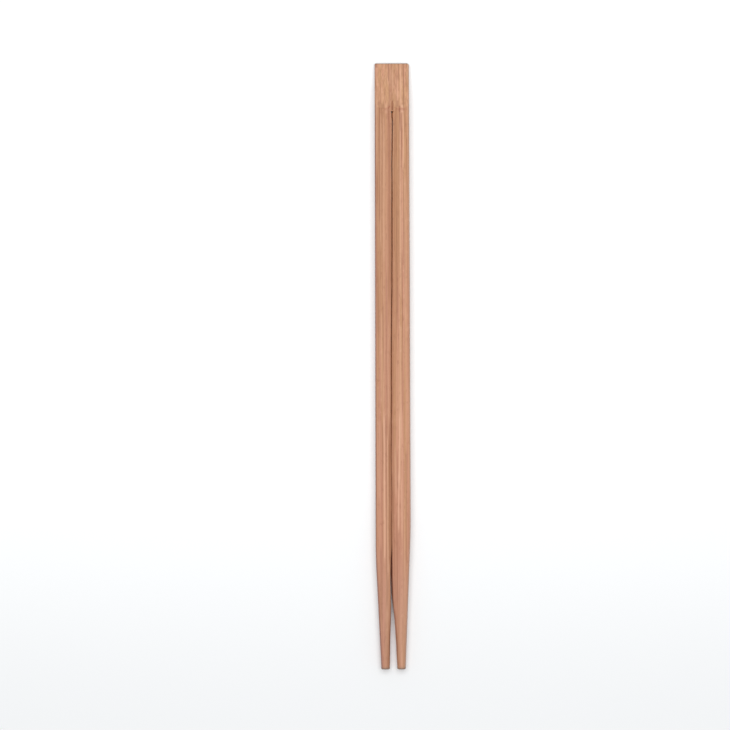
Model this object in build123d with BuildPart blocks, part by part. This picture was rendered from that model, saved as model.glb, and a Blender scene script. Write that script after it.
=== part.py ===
from build123d import *

import os
from math import radians, tan

# A pair of disposable bamboo chopsticks as it is handed out, its two sticks still joined.
#
# The pair is one piece of bamboo. A flat blank is moulded on both faces with a low crest over
# each stick and a shallow groove between them. A thin saw slits it from the tips almost to the
# head, the front of the head is cut away at a slant, and the tips are sanded to a taper.
#
# Millimetres. The pair lies on its back: +Y runs to the head, +X across both sticks, +Z up out
# of the slanted front. The origin is on the table, under the middle of the pair.

# Overall sizes
length = 240.0
thickness = 5.2
head_width = 13.6  # across both sticks at the head end
foot_width = 13.9  # across both sticks where the tapers begin

# Moulded profile, the same on the front and on the back
flank_width = 1.5  # slanted band along the outer side of each stick
flank_drop = 0.26
groove_width = 3.0  # of the groove between the sticks
groove_depth = 0.5
outer_crest_radius = 8.0  # from the flat crest into the outer band
inner_crest_radius = 3.0  # from the flat crest into the groove
edge_radius = 0.35  # between the outer band and the side of the stick
slit_edge_radius = 0.12
edge_share = 0.48  # most of a straight edge that the fillet at one of its ends takes up
score_depth = 0.1  # step from the groove down to the unsawn wood between the sticks
sanding = 0.01  # taken off both faces of the moulded blank, which leaves the crests flat

# Slanted cut on the front of the head
bevel_length = 17.3
head_edge = 1.6  # thickness that is left at the head end
end_easing = 0.25  # broken edges along the sawn end
left_corner_radius = 0.5
right_corner_radius = 0.95
corner_overlap = 0.02  # how far a corner's arc starts outside the side and the end

# Saw slit
slit_start = 19.4  # from the head end to the blind end of the slit
slit_eye = 1.0  # diameter of the rounded blind end
slit_width_head = 0.6
slit_width_foot = 0.45
slit_shift_head = 0.1  # the saw ran a little off the middle, to the right at the head
slit_shift_foot = -0.55  # and to the left further down
slit_foot = 46.0  # from the tips to where the sticks begin to spring apart

# Tapered tips, measured from their ends
left_taper = 45.0
right_taper = 56.0
taper_bend = 7.0  # half the length over which the straight sides bend into the taper
neck = 38.0
neck_gap = 0.8
parting = 24.0
parting_bend = 4.0
tip_gap = 2.95
tip_width = 3.4
tip_thickness = 3.6
tip_corner = 1.05  # size of the slanted corners of a tip
tip_corner_radius = 1.3
tip_land = 1.5  # the last stretch of a tip, which no longer narrows
tip_end_radius = 0.45

# Places along the pair
head_end = length / 2
tip_end = -length / 2
taper_end = tip_end + tip_land
shoulder = head_end - bevel_length
slit_end = head_end - slit_start
web_depth = groove_depth + score_depth
easing_top = head_edge + end_easing * (thickness - head_edge) / bevel_length


def run(y, start, start_size, end, end_size):
    """A size that changes evenly from one place along the pair to another."""
    share = min(max((start - y) / (start - end), 0), 1)
    return start_size + (end_size - start_size) * share


def gap_at(y):
    """Clear width between the sticks: the slit, then the parting of the tips."""
    slit = run(y, head_end, slit_width_head, tip_end + slit_foot, slit_width_foot)
    spring = run(y, tip_end + slit_foot, 0, tip_end + neck, neck_gap - slit_width_foot)
    spread = run(y, tip_end + parting, 0, taper_end, tip_gap - neck_gap)
    return slit + spring + spread


def shift_at(y):
    """Sideways place of the slit."""
    wander = run(y, head_end, slit_shift_head, tip_end + slit_foot, slit_shift_foot)
    return wander + run(y, tip_end + neck, 0, taper_end, -slit_shift_foot)


def fitting_radius(radius, before, corner, after):
    """The wanted radius, or the largest that the two straight edges beside the corner leave room for."""
    one_way = Vector(*before) - Vector(*corner)
    other_way = Vector(*after) - Vector(*corner)
    half_turn = radians(180 - one_way.get_angle(other_way)) / 2
    return min(radius, edge_share * min(one_way.length, other_way.length) / tan(half_turn))


def stick_section(side, taper, y):
    """Section of one stick at one place along it. Side is -1 for the left stick, 1 for the right."""
    foot = tip_end + taper
    outer = run(y, head_end, head_width / 2, foot, foot_width / 2)
    outer += run(y, foot, 0, taper_end, tip_gap / 2 + tip_width - foot_width / 2)
    wall = gap_at(y) / 2 + side * shift_at(y)
    crest_outer = outer - run(y, foot, flank_width, taper_end, tip_corner)
    crest_inner = run(y, foot, groove_width / 2, taper_end, tip_gap / 2 + tip_corner)
    crest = run(y, foot, thickness / 2 + sanding, taper_end, tip_thickness / 2)
    groove_drop = groove_depth * (1 - 2 * max(wall, 0) / groove_width)
    outer_edge = crest - run(y, foot, flank_drop, taper_end, tip_corner)
    inner_edge = crest - run(y, foot, groove_drop, taper_end, tip_corner)
    outer_crest_fillet = run(y, foot, outer_crest_radius, taper_end, tip_corner_radius)
    inner_crest_fillet = run(y, foot, inner_crest_radius, taper_end, tip_corner_radius)
    outer_fillet = run(y, foot, edge_radius, taper_end, tip_corner_radius)
    inner_fillet = run(y, foot, slit_edge_radius, taper_end, tip_corner_radius)
    corners = [
        ((crest_inner, crest), inner_crest_fillet),
        ((crest_outer, crest), outer_crest_fillet),
        ((outer, outer_edge), outer_fillet),
        ((outer, -outer_edge), outer_fillet),
        ((crest_outer, -crest), outer_crest_fillet),
        ((crest_inner, -crest), inner_crest_fillet),
        ((wall, -inner_edge), inner_fillet),
        ((wall, inner_edge), inner_fillet),
    ]
    points = [Vector(side * across, thickness / 2 + up) for (across, up), radius in corners]
    radii = [
        fitting_radius(radius, points[i - 1], points[i], points[(i + 1) % len(points)])
        for i, (place, radius) in enumerate(corners)
    ]
    with BuildSketch(Plane.XZ.offset(-y)) as section:
        with BuildLine():
            FilletPolyline(*points, radius=radii, close=True)
        make_face()
    return section.sketch


def stick_sections(side, taper):
    """Every section that the stick is stretched between, from the head end to where the taper ends."""
    bend_start = tip_end + taper + taper_bend
    bend_end = tip_end + taper - taper_bend
    places = [
        head_end,
        bend_start,
        bend_end,
        tip_end + slit_foot,
        tip_end + neck,
        tip_end + parting + parting_bend,
        tip_end + parting - parting_bend,
        taper_end,
    ]
    return [stick_section(side, taper, y) for y in sorted(set(places), reverse=True)]


with BuildPart() as chopstick_pair:
    # The two sticks, with rounded ends to their tips
    for side, taper in ((-1, left_taper), (1, right_taper)):
        sections = stick_sections(side, taper)
        loft(sections=sections, ruled=True)
        extrude(sections[-1], amount=tip_land)
    fillet(chopstick_pair.faces().group_by(Axis.Y)[0].edges(), tip_end_radius)

    # Unsawn wood that joins the sticks at the head, just below the groove
    with BuildSketch(Plane.XY.offset(web_depth)):
        with Locations((0, (head_end + slit_end) / 2)):
            Rectangle(groove_width / 2, slit_start)
    extrude(amount=thickness - 2 * web_depth)

    # Both faces sanded flat
    with Locations((0, 0, thickness / 2)):
        Box(2 * foot_width, 2 * length, thickness, mode=Mode.INTERSECT)

    # Rounded blind end of the slit
    with BuildSketch():
        with Locations((slit_shift_head, slit_end)):
            Circle(slit_eye / 2)
    extrude(amount=thickness, mode=Mode.SUBTRACT)

    # Slanted front of the head
    with BuildSketch(Plane.YZ):
        with BuildLine():
            Polyline(
                (shoulder, thickness),
                (head_end, head_edge),
                (head_end, thickness),
                close=True,
            )
        make_face()
    extrude(amount=head_width, both=True, mode=Mode.SUBTRACT)

    # Broken edges along the sawn end, front and back
    with BuildSketch(Plane.YZ):
        with BuildLine():
            Polyline(
                (head_end, head_edge - end_easing),
                (head_end - end_easing, easing_top),
                (head_end, easing_top),
                close=True,
            )
        make_face()
        with BuildLine():
            Polyline(
                (head_end, end_easing),
                (head_end - end_easing, 0),
                (head_end, 0),
                close=True,
            )
        make_face()
    extrude(amount=head_width, both=True, mode=Mode.SUBTRACT)

    # Rounded corners of the sawn end
    for side, radius in ((-1, left_corner_radius), (1, right_corner_radius)):
        with BuildSketch():
            with Locations((side * head_width / 2, head_end)):
                Rectangle(2 * (radius - corner_overlap), 2 * (radius - corner_overlap))
            centre = (
                side * (head_width / 2 - radius + corner_overlap),
                head_end - radius + corner_overlap,
            )
            with Locations(centre):
                Circle(radius, mode=Mode.SUBTRACT)
        extrude(amount=thickness, mode=Mode.SUBTRACT)

# The pair as one piece
os.makedirs("parts", exist_ok=True)
chopstick_pair.part.label = "chopstick_pair"
export_step(chopstick_pair.part, "parts/chopstick_pair.step")
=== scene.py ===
import math

import bpy
import numpy as np
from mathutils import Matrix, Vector, noise


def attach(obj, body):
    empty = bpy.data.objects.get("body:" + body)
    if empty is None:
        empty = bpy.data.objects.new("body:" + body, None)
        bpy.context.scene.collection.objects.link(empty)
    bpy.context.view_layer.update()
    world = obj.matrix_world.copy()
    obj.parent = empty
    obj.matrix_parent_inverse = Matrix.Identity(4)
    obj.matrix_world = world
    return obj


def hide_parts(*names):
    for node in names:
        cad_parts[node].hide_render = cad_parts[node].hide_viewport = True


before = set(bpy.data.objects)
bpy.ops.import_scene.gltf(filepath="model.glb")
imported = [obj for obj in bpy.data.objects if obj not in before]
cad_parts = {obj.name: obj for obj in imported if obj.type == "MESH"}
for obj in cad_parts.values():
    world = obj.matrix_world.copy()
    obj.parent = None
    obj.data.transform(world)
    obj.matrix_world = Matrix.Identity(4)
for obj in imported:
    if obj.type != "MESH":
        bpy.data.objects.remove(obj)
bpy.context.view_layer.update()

# Pair of chopsticks, one piece of bamboo lying on its back.
# A flat blank is moulded on both faces, sawn apart from the tips almost to the head, cut at a slant
# across the front of the head, and sanded to a taper at the tips. Nothing is painted or varnished.
mm = 0.001
length = 240 * mm
thickness = 5.2 * mm
head_width = 13.6 * mm
foot_width = 13.9 * mm
head_end = length / 2
tip_end = -length / 2

# Moulded profile: a low crest over each stick, a groove between them, a slanted band outside
flank_width = 1.5 * mm
flank_drop = 0.26 * mm
groove_width = 3.0 * mm
groove_depth = 0.5 * mm
outer_crest_radius = 8.0 * mm
inner_crest_radius = 3.0 * mm
edge_radius = 0.35 * mm
cut_edge_radius = 0.14 * mm
slit_edge_radius = 0.12 * mm
edge_share = 0.48

# Slanted cut on the front of the head, and the broken edges of the sawn end
bevel_length = 17.3 * mm
head_edge = 1.6 * mm
end_easing = 0.25 * mm
left_corner_radius = 0.5 * mm
right_corner_radius = 0.95 * mm
corner_overlap = 0.02 * mm
shoulder = head_end - bevel_length
bevel_fall = (thickness - head_edge) / bevel_length
corner_reach = 2.0 * mm

# Saw slit, its rounded blind end, and the scored line above it. The saw leaned, wavered and strayed:
# strays are places along the pair and how far off they lie, in mm. A run is how long a change takes.
slit_end = head_end - 19.4 * mm
slit_eye = 1.0 * mm
slit_width_head = 0.6 * mm
slit_width_foot = 0.45 * mm
slit_shift_head = 0.1 * mm
slit_shift_foot = -0.55 * mm
web_depth = 0.6 * mm
score_lean = 0.06 * mm
wall_lip = 0.25 * mm
slit_top = slit_end + slit_eye / 2
saw_lean = 0.5 * mm
saw_lean_head = 0.34 * mm
saw_lean_run = (85 * mm, 40 * mm)
eye_lean = 0.36 * mm
eye_run = (slit_end - slit_eye, slit_end - 4 * slit_eye)
wedge_lean = 0.5 * mm
wedge_run = (-72 * mm, -78 * mm)
upright_run = (-78 * mm, -95 * mm)
no_lean_run = (-90 * mm, -101 * mm)
pinched = 0.07 * mm
saw_waver = 0.045 * mm
sprung = 0.12 * mm
sprung_run = (-84 * mm, -92 * mm)
sprung_end_run = (-108 * mm, -117 * mm)
saw_strays = [(120, 0.2), (104, 0.2), (101.5, 0.15), (99.6, 0.16), (97, 0.19), (80, 0.08), (56, 0.12)]
saw_strays += [(35, 0.07), (10, -0.15), (-31, -0.16), (-50, 0.07), (-72, 0.06), (-84, 0), (-120, 0)]

# The left stick's inner front edge is worn down below the middle, then chipped, where the slit opens
worn_depth = 0.42 * mm
worn_top = -22 * mm
worn_run = 14 * mm
worn_foot = -76 * mm
worn_foot_run = 6 * mm
worn_foot_share = 0.4
worn_pinch = 0.08 * mm
worn_pinch_run = 12 * mm
worn_pinch_end_run = 10 * mm
notch_top = -76.6 * mm
notch_foot = -104 * mm
notch_run = 1 * mm
notch_depth = 0.32 * mm
notch_slope = 0.3

# Tapered tips
left_taper = 45 * mm
right_taper = 56 * mm
taper_bend = 7 * mm
slit_foot = tip_end + 46 * mm
neck = tip_end + 38 * mm
neck_gap = 0.8 * mm
parting = tip_end + 24 * mm
parting_bend = 4 * mm
tip_gap = 2.95 * mm
tip_width = 3.4 * mm
tip_thickness = 3.6 * mm
tip_corner = 1.05 * mm
tip_corner_radius = 1.3 * mm
taper_end = tip_end + 1.5 * mm
tip_end_radius = 0.45 * mm

# Points round one stick: the front from the slit outwards, the side, the back, and the slit wall
arc_counts = [4, 5, 5, 5, 5, 4, 3, 3]
straight_counts = [15, 4, 6, 4, 15, 4, 10, 4]
front_columns = range(0, 32)
side_rows = range(32, 48)
back_columns = range(48, 80)
wall_rows = range(80, 96)
front_edge, back_edge = side_rows[:5], side_rows[-5:]
back_lip, front_lip = wall_rows[:3], wall_rows[-3:]
back_score, back_root, front_root, front_score = 83, 84, 91, 92
round_count = 96
slit_only = range(back_root + 1, front_root)


def run(y, start, start_size, end, end_size):
    """A size that changes evenly from one place along the pair to another."""
    share = min(max((start - y) / (start - end), 0), 1)
    return start_size + (end_size - start_size) * share


def bent_run(y, start, end, end_size, bend):
    """A size that grows from nothing at the start, with a soft bend there, and stays once it ends."""
    past = start - y
    if past < -bend:
        past = 0
    elif past < bend:
        past = (past + bend) ** 2 / (4 * bend)
    return end_size * min(past / (start - end), 1)


def wander(y, wavelength, seed):
    """A smooth wander between about -1 and 1 along the pair."""
    return noise.noise(Vector((y / wavelength, seed, 0.5))) * 1.6


def soft_run(y, start, start_size, end, end_size):
    """A size that changes from one place along the pair to another, slowly at both."""
    share = run(y, start, 0, end, 1)
    return start_size + (end_size - start_size) * share * share * (3 - 2 * share)


def gap_at(y):
    """Clear width between the sticks."""
    slit = run(y, head_end, slit_width_head, slit_foot, slit_width_foot)
    spring = run(y, slit_foot, 0, neck, neck_gap - slit_width_foot)
    return slit + spring + bent_run(y, parting, taper_end, tip_gap - neck_gap, parting_bend)


def shift_at(y):
    """Sideways place of the slit."""
    astray = run(y, head_end, slit_shift_head, slit_foot, slit_shift_foot)
    for (start, start_size), (end, end_size) in zip(saw_strays, saw_strays[1:]):
        if end * mm < y <= start * mm:
            astray += soft_run(y, start * mm, start_size * mm, end * mm, end_size * mm)
    return astray + run(y, neck, 0, taper_end, -slit_shift_foot)


def slit_half(y):
    """Half the clear width at the slit, with the rounded blind end, and nothing above it."""
    half = gap_at(y) / 2
    if y > slit_end:
        half = 0
    reach = (slit_eye / 2) ** 2 - (y - slit_end) ** 2
    return max(half, math.sqrt(max(reach, 0)))


def arc(before, corner, after, radius, count):
    """Points on the rounded corner between two straight edges."""
    to_before, to_after = before - corner, after - corner
    turn = math.pi - to_before.angle(to_after)
    reach = radius * math.tan(turn / 2)
    reach = min(reach, edge_share * min(to_before.length, to_after.length))
    start = corner + to_before.normalized() * reach
    end = corner + to_after.normalized() * reach
    pull = math.cos(turn / 2)
    points = []
    for step in range(count):
        t = step / (count - 1)
        ends, middle = ((1 - t) ** 2, t**2), 2 * pull * t * (1 - t)
        points.append((start * ends[0] + corner * middle + end * ends[1]) / (sum(ends) + middle))
    return points


def wall_lean(side, y):
    """How far the back of the slit wall lies outwards of its front: the saw leaned."""
    lean = soft_run(y, saw_lean_run[0], saw_lean_head, saw_lean_run[1], saw_lean)
    lean += soft_run(y, eye_run[0], eye_lean, eye_run[1], 0)
    if side > 0:
        lean += soft_run(y, wedge_run[0], 0, wedge_run[1], wedge_lean)
    else:
        lean *= soft_run(y, upright_run[0], 1, upright_run[1], 0)
    return -side * lean * soft_run(y, no_lean_run[0], 1, no_lean_run[1], 0)


def stick_outline(side, y):
    """Outline of one stick at one place along it, as points across and up from mid-height."""
    taper = left_taper if side < 0 else right_taper
    foot = tip_end + taper

    def to_tip(size, tip_size):
        return size + bent_run(y, foot, taper_end, tip_size - size, taper_bend)

    body = run(y, head_end, head_width / 2, foot, foot_width / 2)
    outer = body + bent_run(y, foot, taper_end, tip_gap / 2 + tip_width - foot_width / 2, taper_bend)
    wall = gap_at(y) / 2 + side * shift_at(y)
    if slit_end - slit_eye < y <= slit_top:
        wall = max(gap_at(y) / 2, slit_half(y)) + side * shift_at(y)
    crest_outer = outer - to_tip(flank_width, tip_corner)
    crest_inner = to_tip(groove_width / 2, tip_gap / 2 + tip_corner)
    crest = to_tip(thickness / 2, tip_thickness / 2)
    wall_back = wall + wall_lean(side, y)
    drops = [groove_depth * (1 - 2 * max(place, 0) / groove_width) for place in (wall, wall_back)]
    outer_edge = crest - to_tip(flank_drop, tip_corner)
    inner_edge, inner_edge_back = (crest - to_tip(drop, tip_corner) for drop in drops)
    worn = 0
    if side < 0:
        fibrous = 1 + 0.3 * wander(y, 11 * mm, 6.2)
        worn = worn_depth * fibrous * soft_run(y, worn_top, 0, worn_top - worn_run, 1)
        worn *= soft_run(y, worn_foot, 1, worn_foot - worn_foot_run, worn_foot_share)
        worn *= soft_run(y, neck, 1, taper_end, 0)
    front_edge_radius = run(y, shoulder + 1.6 * mm, cut_edge_radius, shoulder + 0.8 * mm, edge_radius)
    corners = [
        Vector((crest_inner, crest)),
        Vector((crest_outer, crest)),
        Vector((outer, outer_edge)),
        Vector((outer, -outer_edge)),
        Vector((crest_outer, -crest)),
        Vector((crest_inner, -crest)),
        Vector((wall_back, -inner_edge_back)),
        Vector((wall, inner_edge - worn)),
    ]
    radii = [
        to_tip(inner_crest_radius, tip_corner_radius),
        to_tip(outer_crest_radius, tip_corner_radius),
        to_tip(front_edge_radius, tip_corner_radius),
        to_tip(edge_radius, tip_corner_radius),
        to_tip(outer_crest_radius, tip_corner_radius),
        to_tip(inner_crest_radius, tip_corner_radius),
        to_tip(slit_edge_radius, tip_corner_radius),
        to_tip(slit_edge_radius, tip_corner_radius),
    ]
    arcs = [
        arc(corners[i - 1], corners[i], corners[(i + 1) % 8], radii[i], arc_counts[i])
        for i in range(8)
    ]
    points = []
    for i in (7, 0, 1, 2, 3, 4, 5, 6):
        if i != 7:
            points += arcs[i]
        start, end = arcs[i][-1], arcs[(i + 1) % 8][0]
        for step in range(straight_counts[i]):
            points.append(start.lerp(end, (step + 1) / (straight_counts[i] + 1)))
    points += arcs[7]

    # The slit wall: its lips at the scored line, and even steps between them
    for i, share in zip(range(back_score, front_score + 1), wall_steps):
        wall_end = arcs[7][0].y if share > 0 else -arcs[6][-1].y
        points[i] = Vector((wall, wall_end * share))
    if y > slit_end - slit_eye:
        half, shift = slit_half(y), side * shift_at(y)
        score_half = gap_at(y) / 2
        closing = 1 - min(half / score_half, 1)
        score_up = thickness / 2 - web_depth
        root_up = score_up - wall_lip * (1 - closing)
        for i, up in ((back_score, -score_up), (front_score, score_up)):
            points[i] = Vector((shift + max(half, score_half - score_lean * closing), up))
        for i, up in ((back_root, -root_up), (front_root, root_up)):
            points[i] = Vector((shift + half, up))
        for i in slit_only:
            points[i] = Vector((shift + half, points[i].y))
    return points, outer


wall_steps = (-0.95, -0.83, -0.6, -0.36, -0.12, 0.12, 0.36, 0.6, 0.83, 0.95)


# Steps along the pair: fine at the slanted cut's edge, round the blind end of the slit and at the foot
cut_edge_top = shoulder + 3.1 * mm
cut_edge_foot = shoulder - 0.2 * mm
body_foot = -58 * mm
cut_step = 0.4 * mm
cut_edge_step = 0.085 * mm
unsawn_step = 0.2 * mm
body_step = 0.78 * mm
foot_step = 0.5 * mm
corner_steps = 20
eye_turn = 0.8 * math.pi
eye_steps = 12
tip_steps = 5


def spaced(start, end, step):
    """Even steps from a start down to, but not including, an end."""
    count = max(int(round((start - end) / step)), 1)
    return [start + (end - start) * i / count for i in range(count)]


stations = []
for i in range(corner_steps // 2):
    stations.append(head_end - right_corner_radius * (1 - math.cos(i * math.pi / corner_steps)))
stations += spaced(head_end - right_corner_radius, cut_edge_top, cut_step)
stations += spaced(cut_edge_top, cut_edge_foot, cut_edge_step)
stations += spaced(cut_edge_foot, slit_top, unsawn_step)
for i in range(eye_steps):
    stations.append(slit_end + slit_eye / 2 * math.cos(i * eye_turn / eye_steps))
stations += spaced(slit_end + slit_eye / 2 * math.cos(eye_turn), body_foot, body_step)
stations += spaced(body_foot, tip_end + tip_end_radius, foot_step)
for i in range(tip_steps + 1):
    stations.append(tip_end + tip_end_radius * (1 - math.sin(i * math.pi / (2 * tip_steps))))
slit_station = min(range(len(stations)), key=lambda i: abs(stations[i] - slit_top))


def fibre_depth(across, y, up):
    """How far the softer wood between the fibre bundles lies below the surface."""
    coarse = noise.noise(Vector((across / (0.9 * mm), y / (38 * mm), up / (1.6 * mm))))
    fine = noise.noise(Vector((across / (0.45 * mm), y / (14 * mm), up / (0.8 * mm) + 7)))
    return (0.014 + 0.013 * coarse + 0.008 * fine) * mm


def wall_shift(side, y, up):
    """How far a point of the slit wall lies outwards of the cut, which wavers and is worn and chipped."""
    below = (thickness / 2 - up) / thickness
    fade = soft_run(y, no_lean_run[0], 1, no_lean_run[1], 0)
    opening = soft_run(y, wedge_run[0], 0, wedge_run[1], 1)
    past_eye = soft_run(y, eye_run[0], 0, eye_run[1], 1)
    roughness = wander(y, 9 * mm, side * 2.7) + 0.5 * wander(y, 2.6 * mm, side * 4.1 + up / mm)
    shift = (saw_waver * roughness - pinched * (1 - opening)) * past_eye * fade
    sprung_here = soft_run(y, sprung_run[0], 0, sprung_run[1], 1)
    shift += sprung * sprung_here * soft_run(y, sprung_end_run[0], 1, sprung_end_run[1], 0)
    worn_here = soft_run(y, worn_top, 0, worn_top - worn_pinch_run, 1)
    shift -= worn_pinch * worn_here * soft_run(y, worn_foot + worn_pinch_end_run, 1, worn_foot, 0)
    if side < 0:
        chip = min(run(y, notch_top, 0, notch_top - notch_run, 1), run(y, notch_top, 1, notch_foot, 0))
        shift += notch_depth * chip * (1 - notch_slope * below)
    return shift


def nick_depth(side, y, seed):
    """How far an outer edge is worn or splintered away, now and then along it."""
    bruise = noise.noise(Vector((y / (5.5 * mm), side * 3.1, seed)))
    splinter = noise.noise(Vector((y / (1.7 * mm), side * 5.3, seed)))
    return (max(bruise - 0.25, 0) * 0.16 + max(splinter - 0.38, 0) * 0.1) * mm


tip_middle = Vector(((tip_gap + tip_width) / 2, 0))
place = np.zeros((2, len(stations), round_count, 3))
for k, y in enumerate(stations):
    cut_up = thickness - (y - shoulder) * bevel_fall
    unevenness = 0.05 * mm * math.exp(-(((y - shoulder) / (2.5 * mm)) ** 2))
    lift = 0
    if y > head_end - end_easing:
        into_end = (y - head_end + end_easing) / end_easing
        rounding = end_easing * (1 - math.sqrt(max(1 - into_end**2, 0)))
        cut_up = cut_up - rounding
        lift = rounding
    for s, side in enumerate((-1, 1)):
        points, outer = stick_outline(side, y)
        inset = 0
        if y < tip_end + tip_end_radius:
            into_tip = (tip_end + tip_end_radius - y) / tip_end_radius
            inset = tip_end_radius * (1 - math.sqrt(max(1 - into_tip**2, 0)))
        moved = []
        for i in range(round_count):
            before, after = points[i - 1], points[(i + 1) % round_count]
            inward = Vector(((after - before).y, -(after - before).x)).normalized()
            across, up = points[i]
            depth = fibre_depth(side * across, y, up)
            if back_score <= i <= front_score:
                depth = 0
            if i in front_edge:
                depth += nick_depth(side, y, 0.3)
            if i in back_edge:
                depth += nick_depth(side, y, 4.7)
            moved.append(points[i] + inward * depth)
        points = [tip_middle + (point - tip_middle) * (1 - 2 * inset / tip_thickness) for point in moved]
        lean = wall_lean(side, y)
        for i in wall_rows:
            up = points[i].y
            points[i].x += wall_shift(side, y, up)
            if i not in back_lip:
                points[i].x += lean * (thickness / 2 - up) / thickness
        # The sawn end's corner, the slant and the broken edges take away from the outline
        corner = left_corner_radius if side < 0 else right_corner_radius
        past_corner = y - (head_end - corner + corner_overlap)
        if past_corner > 0:
            limit = head_width / 2 - corner + corner_overlap
            limit += math.sqrt(max(corner**2 - past_corner**2, 0))
            for i in range(round_count):
                past = points[i].x - (outer - corner_reach)
                if past > 0:
                    points[i].x = outer - corner_reach
                    points[i].x += past * (limit - outer + corner_reach) / corner_reach
        top, bottom = points[side_rows[0]].y, points[side_rows[-1]].y
        cut = cut_up - thickness / 2
        floor = lift - thickness / 2
        for i in (*front_columns, front_root, front_score, *front_lip):
            across = side * points[i].x
            dip = fibre_depth(across, y, points[i].y + 0.7 * mm)
            dip += unevenness * (1 + wander(across, 1.3 * mm, 8.3))
            points[i].y = min(points[i].y, cut - dip)
        for i in (*back_columns, *back_lip, back_score, back_root):
            points[i].y = max(points[i].y, floor)
        new_top, new_bottom = min(top, cut - 0.01 * mm), max(bottom, floor)
        for i in side_rows:
            share = (points[i].y - bottom) / (top - bottom)
            points[i].y = new_bottom + share * (new_top - new_bottom)
        for i in range(round_count):
            place[s, k, i] = (side * points[i].x, y, thickness / 2 + points[i].y)

# Both sticks share the root of the scored line, and the end of the slit
number = np.full((2, len(stations), round_count), -1, int)
vertices = []
for k in range(len(stations)):
    for s in range(2):
        for i in range(round_count):
            joined = k <= slit_station and back_root <= i <= front_root
            if k < slit_station and i in slit_only:
                continue
            if joined and s == 1:
                number[1, k, i] = number[0, k, i]
                continue
            number[s, k, i] = len(vertices)
            vertices.append(place[s, k, i])

# Faces round the sticks, with a place for each in the baked picture: one half for either stick
reference = place[1, len(stations) // 2]
steps_round = np.linalg.norm(np.roll(reference, -1, axis=0) - reference, axis=1)
steps_round = np.maximum(steps_round, 0.09 * mm)
round_share = np.concatenate(([0], np.cumsum(steps_round))) / steps_round.sum()
faces, face_places = [], []
for s, side in enumerate((-1, 1)):
    for k in range(len(stations) - 1):
        v_pair = [0.95 * (head_end - stations[m]) / length for m in (k, k + 1)]
        for i in range(round_count):
            j = (i + 1) % round_count
            corners = (number[s, k, i], number[s, k, j], number[s, k + 1, j], number[s, k + 1, i])
            if min(corners) < 0:
                continue
            u_pair = [0.5 * s + 0.002 + 0.496 * round_share[m] for m in (i, i + 1)]
            spots = [(u_pair[0], v_pair[0]), (u_pair[1], v_pair[0])]
            spots += [(u_pair[1], v_pair[1]), (u_pair[0], v_pair[1])]
            order = (0, 1, 2, 3) if side < 0 else (3, 2, 1, 0)
            faces.append([int(corners[n]) for n in order])
            face_places.append([spots[n] for n in order])


def add_cap(front, back, first_side, last_side, u_range, v_range, flipped):
    """Closes a sawn end with a grid between its front and back edges and its two sides."""
    rows = [front]
    for r in range(len(first_side)):
        share = (r + 1) / (len(first_side) + 1)
        row = [first_side[r]]
        for c in range(1, len(front) - 1):
            row.append(len(vertices))
            vertices.append(
                np.array(vertices[front[c]]) * (1 - share) + np.array(vertices[back[c]]) * share
            )
        rows.append(row + [last_side[r]])
    rows.append(back)
    spread_u = np.linspace(*u_range, len(front))
    spread_v = np.linspace(*v_range, len(rows))
    for r in range(len(rows) - 1):
        for c in range(len(front) - 1):
            cells = [(r, c), (r, c + 1), (r + 1, c + 1), (r + 1, c)]
            if flipped:
                cells.reverse()
            faces.append([int(rows[a][b]) for a, b in cells])
            face_places.append([(spread_u[b], spread_v[a]) for a, b in cells])


left, right = number[0, 0], number[1, 0]
front_way_in = (*reversed(front_columns), *reversed(front_lip), front_score)
back_way_in = (*back_columns, *back_lip, back_score)
head_front = [left[i] for i in (*front_way_in, front_root)] + [right[i] for i in reversed(front_way_in)]
head_back = [left[i] for i in (*back_way_in, back_root)] + [right[i] for i in reversed(back_way_in)]
add_cap(
    head_front,
    head_back,
    [left[i] for i in side_rows],
    [right[i] for i in side_rows],
    (0.01, 0.99),
    (0.956, 0.974),
    False,
)
for s, side in enumerate((-1, 1)):
    tip = number[s, -1]
    add_cap(
        [tip[i] for i in front_columns],
        [tip[i] for i in reversed(back_columns)],
        [tip[i] for i in reversed(wall_rows)],
        [tip[i] for i in side_rows],
        (0.01 + 0.5 * s, 0.49 + 0.5 * s),
        (0.98, 0.998),
        side > 0,
    )

mesh = bpy.data.meshes.new("chopsticks")
mesh.from_pydata([tuple(v) for v in vertices], [], faces)
baked_places = mesh.uv_layers.new(name="OFBake")
baked_places.data.foreach_set("uv", [n for spots in face_places for spot in spots for n in spot])
mesh.polygons.foreach_set("use_smooth", [True] * len(mesh.polygons))
mesh.update()
chopsticks = bpy.data.objects.new("chopsticks", mesh)
bpy.context.scene.collection.objects.link(chopsticks)

# Where each surface came from: outer strip, groove, sawn slit and sawn ends. The material paints shade on
# the outer strip, in the groove and on the sawn ends, and paints the slit walls pale. The strip and the
# groove fade out over so many columns of points, the sawn ends over so far along the pair.
strip_columns = 4
groove_columns = 7
head_grain_shade_reach = 0.5 * mm
tip_grain_shade_reach = 1.3 * mm
side_shade_strip = np.zeros(len(vertices))
groove = np.zeros(len(vertices))
sawn = np.zeros(len(vertices))
end_grain_and_shade = np.zeros(len(vertices))
for k, y in enumerate(stations):
    for s in range(2):
        for i in range(round_count):
            n = number[s, k, i]
            if n < 0:
                continue
            from_side = max(side_rows[0] - i, i - side_rows[-1], 0)
            from_slit = min(i, max(back_lip[0] - i, 0))
            side_shade_strip[n] = max(1 - from_side / strip_columns, 0)
            groove[n] = max(1 - from_slit / groove_columns, 0)
            if back_score <= i <= front_score and k >= slit_station:
                sawn[n] = 1
# Darkening at both sawn ends: partly the end grain's colour, partly painted shade on the rounded ends.
for n, (_, y, _) in enumerate(vertices):
    at_head = soft_run(y, head_end, 1, head_end - head_grain_shade_reach, 0)
    end_grain_and_shade[n] = max(at_head, soft_run(y, tip_end + tip_grain_shade_reach, 0, tip_end, 1))

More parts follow.
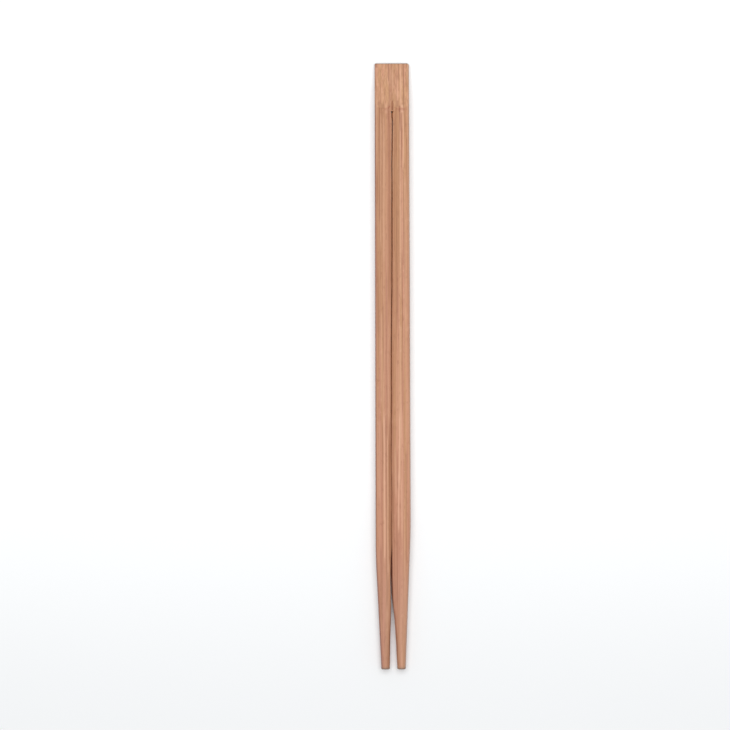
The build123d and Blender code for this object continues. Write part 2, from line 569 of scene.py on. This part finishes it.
# Fibre bundles that stand out: sideways place, from and to along the pair, width, all in mm, and
# how strong. The first are dark, the second pale.
dark_bundles = [
    (-1.31, 120.5, 114, 0.36, 1.0),
    (-0.96, 111, 104, 0.34, 0.6),
    (1.55, 120.5, 114, 0.42, 0.5),
    (1.83, 114, 103.5, 0.34, 0.6),
    (2.65, 120.5, 114.4, 0.36, 1.0),
    (4.6, 117, 104, 0.36, 1.1),
    (5.8, 120.5, 112, 0.4, 0.6),
    (-4.5, 113, 104, 0.4, 0.4),
    (0.3, 104.8, 103.2, 0.34, 1.0),
    (0.2, 102.6, 101.0, 0.42, 1.3),
    (-1.36, 102.5, 92, 0.4, 0.3),
    (3.0, 102.7, 100.9, 0.6, 0.7),
    (-5.3, 104.3, 103.4, 0.9, 0.55),
    (-3.6, 103.4, 102.3, 1.0, 0.6),
    (2.2, 104.6, 103.0, 1.1, 0.75),
    (4.5, 104.0, 103.5, 1.2, 0.4),
    (-6.2, 120.5, 118.8, 0.8, 0.9),
    (-5.5, 73, 15, 1.5, 0.22),
    (3.37, 99.6, 94, 0.36, 0.5),
    (3.74, 93, 83, 0.36, 0.4),
    (4.45, 74, 44, 0.36, 0.4),
    (-4.98, 96, 60, 0.42, 0.45),
    (-1.3, 100, 28, 0.8, 0.26),
    (0.85, 98, 48, 0.42, 0.35),
    (2.0, 60, 20, 0.5, 0.25),
    (3.88, 42, -16, 0.4, 0.4),
    (-2.35, 34, -27, 0.42, 0.4),
    (-3.6, 22, 0, 0.4, 0.3),
    (-2.6, -24, -92, 0.36, 0.55),
    (-4.25, -25, -72, 0.45, 0.35),
    (-4.7, -74, -98, 1.1, 0.35),
    (-6.3, 98, 30, 0.36, 0.3),
    (-1.25, -24, -76, 0.6, 0.6),
    (1.78, -36, -47, 0.4, 0.4),
    (1.36, -60, -92, 0.55, 0.3),
    (5.3, -36, -76, 0.7, 0.35),
]
pale_bundles = [
    (-0.55, 119, 113, 0.42, 0.7),
    (0.28, 117, 112, 0.42, 0.9),
    (3.42, 117, 105, 0.45, 1.0),
    (2.2, 110, 104, 0.4, 0.6),
    (4.0, 103.0, 100.8, 1.0, 1.1),
    (4.15, 100, 95, 0.7, 0.4),
    (-2.3, 103.1, 100.6, 1.0, 0.4),
    (5.1, 72, 20, 0.8, 0.4),
    (-4.55, 96, 50, 0.4, 0.45),
    (-3.4, 96, 44, 0.7, 0.4),
    (3.2, 94, 30, 0.6, 0.5),
    (3.35, 72, 42, 0.5, 0.5),
    (-4.45, 18, -12, 0.6, 0.4),
    (-1.75, 14, -27, 0.5, 0.35),
    (3.07, 12, -26, 0.5, 0.5),
    (-5.4, -25, -50, 0.5, 0.4),
    (-3.4, -22, -74, 0.46, 1.0),
    (-2.15, -30, -80, 0.4, 0.7),
    (2.6, -22, -44, 0.45, 1.0),
    (2.15, -44, -62, 0.4, 1.0),
    (0.99, -35, -49, 0.4, 0.7),
    (3.4, -48, -63, 0.4, 0.6),
]


def bundle_strength(place, bundles):
    """How strongly the listed bundles show at one place, with soft sides and long soft ends."""
    across, along = place[0] / mm, place[1] / mm
    strongest = 0
    for middle, start, end, width, strength in bundles:
        aside = abs(across - middle - 0.12 * wander(along, 17, middle)) / width
        beyond = max(along - start, end - along, 0) / min(3, 0.2 + 0.2 * (start - end))
        strongest = max(strongest, strength * math.exp(-(aside**2) * 2.8) * math.exp(-(beyond**2)))
    return strongest


fronts = [v if v[2] > 1.2 * mm else (1, 1, 1) for v in vertices]
dark_streak = [bundle_strength(v, dark_bundles) for v in fronts]
pale_streak = [bundle_strength(v, pale_bundles) for v in fronts]
surface_marks = {"side_shade_strip": side_shade_strip, "groove": groove, "sawn": sawn}
surface_marks |= {"end_grain_and_shade": end_grain_and_shade, "dark_streak": dark_streak, "pale_streak": pale_streak}
for name, values in surface_marks.items():
    mesh.attributes.new(name, "FLOAT", "POINT").data.foreach_set("value", values)

# Bamboo, dry and unvarnished: long pinkish and ochre fibre bundles with thin darker bundles between
bamboo = bpy.data.materials.new("bamboo")
bamboo.use_nodes = True
nodes, links = bamboo.node_tree.nodes, bamboo.node_tree.links
wood = nodes["Principled BSDF"]


def shade(red, green, blue):
    """A colour read as 0 to 255 on a screen, as the shader wants it."""
    channels = [c / 255 for c in (red, green, blue)]
    return [c / 12.92 if c < 0.04045 else ((c + 0.055) / 1.055) ** 2.4 for c in channels] + [1]


def put(kind, inputs, output=0, **settings):
    """A new node, with each input set to a value or joined to another output. Gives one output."""
    made = nodes.new(kind)
    for name, value in settings.items():
        setattr(made, name, value)
    for name, value in inputs.items():
        if isinstance(value, bpy.types.NodeSocket):
            links.new(value, made.inputs[name])
        else:
            made.inputs[name].default_value = value
    return made.outputs[output]


def calc(operation, *values):
    return put("ShaderNodeMath", dict(enumerate(values)), operation=operation)


def ramp(value, low, high, low_result=0, high_result=1):
    """Goes softly from one result to the other as the value passes from low to high."""
    sizes = {"Value": value, "From Min": low, "From Max": high}
    sizes |= {"To Min": low_result, "To Max": high_result}
    return put("ShaderNodeMapRange", sizes, interpolation_type="SMOOTHSTEP")


def blend(amount, first, second, mode="MIX"):
    mixed = {0: amount, 6: first, 7: second}
    return put("ShaderNodeMix", mixed, 2, data_type="RGBA", blend_type=mode)


def stretched(point, across, along, up, seed=0.0):
    """The place in the wood, squeezed along the fibres so that a pattern on it runs lengthwise."""
    moved = {"Vector": point, "Scale": (across, along, up), "Location": (seed, seed, seed)}
    return put("ShaderNodeMapping", moved)


def grain(point, across, along, up, seed, detail=2.0, roughness=0.5):
    pattern = {"Vector": stretched(point, across, along, up, seed), "Scale": 1.0}
    return put("ShaderNodeTexNoise", pattern | {"Detail": detail, "Roughness": roughness})


object_place = nodes.new("ShaderNodeTexCoord").outputs["Object"]
in_mm = put("ShaderNodeVectorMath", {0: object_place, "Scale": 1000.0}, operation="SCALE")
sway = grain(in_mm, 0.0, 0.02, 0.0, 3.0, 1.0)
drift = calc("MULTIPLY", calc("SUBTRACT", sway, 0.5), 1.2)
spot = put("ShaderNodeVectorMath", {0: in_mm, 1: put("ShaderNodeCombineXYZ", {0: drift})})
apart = nodes.new("ShaderNodeSeparateXYZ")
links.new(in_mm, apart.inputs[0])
x_mm, y_mm, z_mm = apart.outputs

pink_tan = shade(208, 148, 119)
ochre_tan = shade(202, 150, 109)
pale_tan = shade(232, 182, 150)
brown = shade(158, 103, 74)
red_brown = shade(142, 86, 62)


def mark(name):
    return put("ShaderNodeAttribute", {}, 2, attribute_name=name)


def share_of(amount, part):
    return calc("MULTIPLY", amount, part)


calm = ramp(y_mm, 20, 105, 0.55, 1.0)
broad = grain(spot, 0.55, 0.007, 0.4, 11.0, 2.0)
streaks = grain(spot, 1.15, 0.012, 0.9, 23.0, 2.0, 0.55)
lines = grain(spot, 2.1, 0.02, 1.6, 67.0, 2.0, 0.6)
fibres = grain(spot, 4.6, 0.05, 3.4, 37.0, 3.0, 0.6)
flecks = grain(spot, 2.6, 0.22, 2.4, 51.0, 3.0, 0.6)
mottle = grain(spot, 0.8, 0.3, 0.8, 83.0, 3.0, 0.6)

colour = blend(ramp(broad, 0.38, 0.62), pink_tan, ochre_tan)
colour = blend(share_of(ramp(streaks, 0.5, 0.7), share_of(calm, 0.4)), colour, pale_tan)
colour = blend(share_of(ramp(streaks, 0.5, 0.3), share_of(calm, 0.5)), colour, brown)
colour = blend(share_of(ramp(lines, 0.5, 0.68), share_of(calm, 0.64)), colour, brown)
colour = blend(share_of(ramp(lines, 0.48, 0.3), share_of(calm, 0.5)), colour, pale_tan)
colour = blend(share_of(ramp(fibres, 0.52, 0.72), share_of(calm, 0.5)), colour, brown)
colour = blend(share_of(ramp(flecks, 0.58, 0.74), 0.45), colour, red_brown)
colour = blend(share_of(ramp(mottle, 0.42, 0.3), 0.3), colour, brown)
colour = blend(share_of(ramp(mottle, 0.58, 0.72), 0.25), colour, pale_tan)
colour = blend(ramp(y_mm, 90, 40, 0.0, 0.1), colour, brown)
colour = blend(share_of(ramp(x_mm, 1, -1), ramp(y_mm, 100, 75, 0.0, 0.12)), colour, brown)
colour = blend(ramp(y_mm, -60, -100, 0.0, 0.26), colour, shade(190, 144, 130))
colour = blend(share_of(mark("pale_streak"), 0.75), colour, pale_tan)
colour = blend(share_of(mark("dark_streak"), 0.9), colour, red_brown)

# The slanted cut is paler, and the cutter bruised the wood just below its uneven edge
below_cut = calc("MULTIPLY_ADD", calc("SUBTRACT", y_mm, shoulder / mm), bevel_fall, z_mm)
below_cut = calc("SUBTRACT", below_cut, thickness / mm)
uneven = grain(in_mm, 0.9, 0.5, 0.3, 91.0, 3.0, 0.6)
edge_place = calc("MULTIPLY_ADD", calc("SUBTRACT", uneven, 0.5), 0.3, below_cut)
cut = ramp(edge_place, -0.19, -0.05)
bruised = calc("MULTIPLY", ramp(edge_place, -0.5, -0.1), calc("SUBTRACT", 1.0, cut))
bruised = calc("MULTIPLY", bruised, ramp(grain(in_mm, 0.5, 0.5, 0.3, 97.0, 2.0), 0.42, 0.62))
colour = blend(share_of(cut, 0.2), colour, shade(232, 184, 142))
colour = blend(share_of(bruised, 0.55), colour, shade(166, 92, 68))

# The sides and their rounded edges get painted shade: the left side is painted darker and more mauve, the
# right side a little darker and greyer.
painted_side_shade = blend(ramp(x_mm, -1.0, 1.0), shade(152, 108, 98), shade(180, 144, 124))
# Painted shade in the groove along the slit, stronger on its left flank, together with some of the wood's
# own darker tone there.
colour = blend(share_of(mark("groove"), ramp(x_mm, -0.3, 0.3, 0.42, 0.22)), colour, shade(160, 108, 78))
colour = blend(share_of(mark("side_shade_strip"), 0.7), colour, painted_side_shade)
# The sawn slit walls are painted very pale as painted light, so that the narrow deep slit looks lighter
# and warmer from above; from the wedge down they are painted greyer, and the share fades towards the
# tips.
slit_wall_painted_light = blend(ramp(y_mm, -64, -76), shade(255, 214, 176), shade(200, 146, 124))
slit_wall_light_share = share_of(mark("sawn"), ramp(y_mm, -90, -100, 0.9, 0.3))
colour = blend(slit_wall_light_share, colour, slit_wall_painted_light)
# The sawn head end and the tip ends are painted darker and greyer: partly the end grain's own colour,
# partly painted shade on their rounded edges.
colour = blend(share_of(mark("end_grain_and_shade"), 0.9), colour, shade(138, 116, 100))
links.new(colour, wood.inputs["Base Color"])
roughness = calc("ADD", 0.5, calc("MULTIPLY", fibres, 0.16))
links.new(roughness, wood.inputs["Roughness"])
wood.inputs["Specular IOR Level"].default_value = 0.35
relief = calc("ADD", fibres, calc("MULTIPLY", flecks, 0.6))
raised = put("ShaderNodeBump", {"Strength": 0.35, "Distance": 0.00006, "Height": relief})
links.new(raised, wood.inputs["Normal"])
mesh.materials.append(bamboo)

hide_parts("chopstick_pair")
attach(chopsticks, "root")

# Table top under the chopsticks: a plain pale matt sheet.
table_half = 1.5
table_mesh = bpy.data.meshes.new("table")
table_mesh.from_pydata(
    [
        (-table_half, -table_half, -0.00008),
        (table_half, -table_half, -0.00008),
        (table_half, table_half, -0.00008),
        (-table_half, table_half, -0.00008),
    ],
    [],
    [(0, 1, 2, 3)],
)
table = bpy.data.objects.new("table", table_mesh)
bpy.context.scene.collection.objects.link(table)
pale = bpy.data.materials.new("pale_sheet")
pale.use_nodes = True
sheet = pale.node_tree.nodes["Principled BSDF"]
sheet.inputs["Base Color"].default_value = (0.885, 0.9, 0.905, 1)
sheet.inputs["Roughness"].default_value = 0.9
sheet.inputs["Specular IOR Level"].default_value = 0.1
# Seen by the camera, the sheet is an overexposed white that falls off softly below the tips. It has
# none of that under the pair down to the opening of the slit, where only the slit would show it, but
# a little light the colour of the wood stands under the head half of the slit.
nodes, links = pale.node_tree.nodes, pale.node_tree.links
seen = nodes.new("ShaderNodeLightPath").outputs
seen_at_all = calc("MAXIMUM", seen["Is Camera Ray"], seen["Is Glossy Ray"])
seen_at_all = calc("MAXIMUM", seen_at_all, seen["Is Transmission Ray"])
sheet_place = nodes.new("ShaderNodeSeparateXYZ")
links.new(nodes.new("ShaderNodeTexCoord").outputs["Object"], sheet_place.inputs[0])
sheet_x, sheet_y = sheet_place.outputs[0], sheet_place.outputs[1]
beside = ramp(calc("ABSOLUTE", sheet_x), 4 * mm, 6 * mm)
clear = calc("MAXIMUM", beside, ramp(sheet_y, -88 * mm, tip_end))
clear = calc("MAXIMUM", clear, ramp(sheet_y, head_end - 4 * mm, head_end - 1 * mm))
glow = calc("MULTIPLY", ramp(sheet_y, -0.15, -0.01, 0.035, 0.17), clear)
under_slit = calc("SUBTRACT", ramp(sheet_y, 62 * mm, 95 * mm), ramp(sheet_y, 97.8 * mm, 98.8 * mm))
under_slit = calc("MULTIPLY", under_slit, calc("SUBTRACT", 1.0, beside))
glow = calc("MAXIMUM", glow, calc("MULTIPLY", under_slit, 0.16))
glow = calc("MULTIPLY", glow, seen_at_all)
links.new(glow, sheet.inputs["Emission Strength"])
glow_colour = blend(clear, shade(255, 196, 168), shade(255, 255, 255))
links.new(glow_colour, sheet.inputs["Emission Color"])
table_mesh.materials.append(pale)

# Light: a wide soft lamp overhead, a little towards the head, and an even pale room.
lamp_data = bpy.data.lights.new("overhead_lamp", "AREA")
lamp_data.shape = "RECTANGLE"
lamp_data.size, lamp_data.size_y = 1.2, 1.2
lamp_data.energy = 11.5
lamp_data.color = (1.0, 1.0, 1.0)
lamp = bpy.data.objects.new("overhead_lamp", lamp_data)
lamp.location = (0.0, 0.14, 1.2)
lamp.rotation_euler = (Vector((0, 0, 0)) - lamp.location).to_track_quat("-Z", "Y").to_euler()
bpy.context.scene.collection.objects.link(lamp)
room = bpy.data.worlds.new("room")
room.use_nodes = True
room_light = room.node_tree.nodes["Background"]
room_light.inputs["Color"].default_value = (0.98, 0.98, 1.0, 1)
room_light.inputs["Strength"].default_value = 0.42
bpy.context.scene.world = room

# Camera straight above, with a long lens, aimed beside the pair as in the photograph.
picture_width = 289.1 * mm
aim = (-10.95 * mm, 0.5 * mm, 2.6 * mm)
lens = 200.0
sensor = 36.0
camera_data = bpy.data.cameras.new("camera")
camera_data.lens = lens
camera_data.sensor_width = sensor
camera_data.clip_end = 20
camera = bpy.data.objects.new("camera", camera_data)
camera.location = (aim[0], aim[1], aim[2] + picture_width * lens / sensor)
camera.rotation_euler = (0, 0, math.radians(-0.17))
bpy.context.scene.collection.objects.link(camera)
bpy.context.scene.camera = camera
bpy.context.scene.view_settings.view_transform = "Standard"
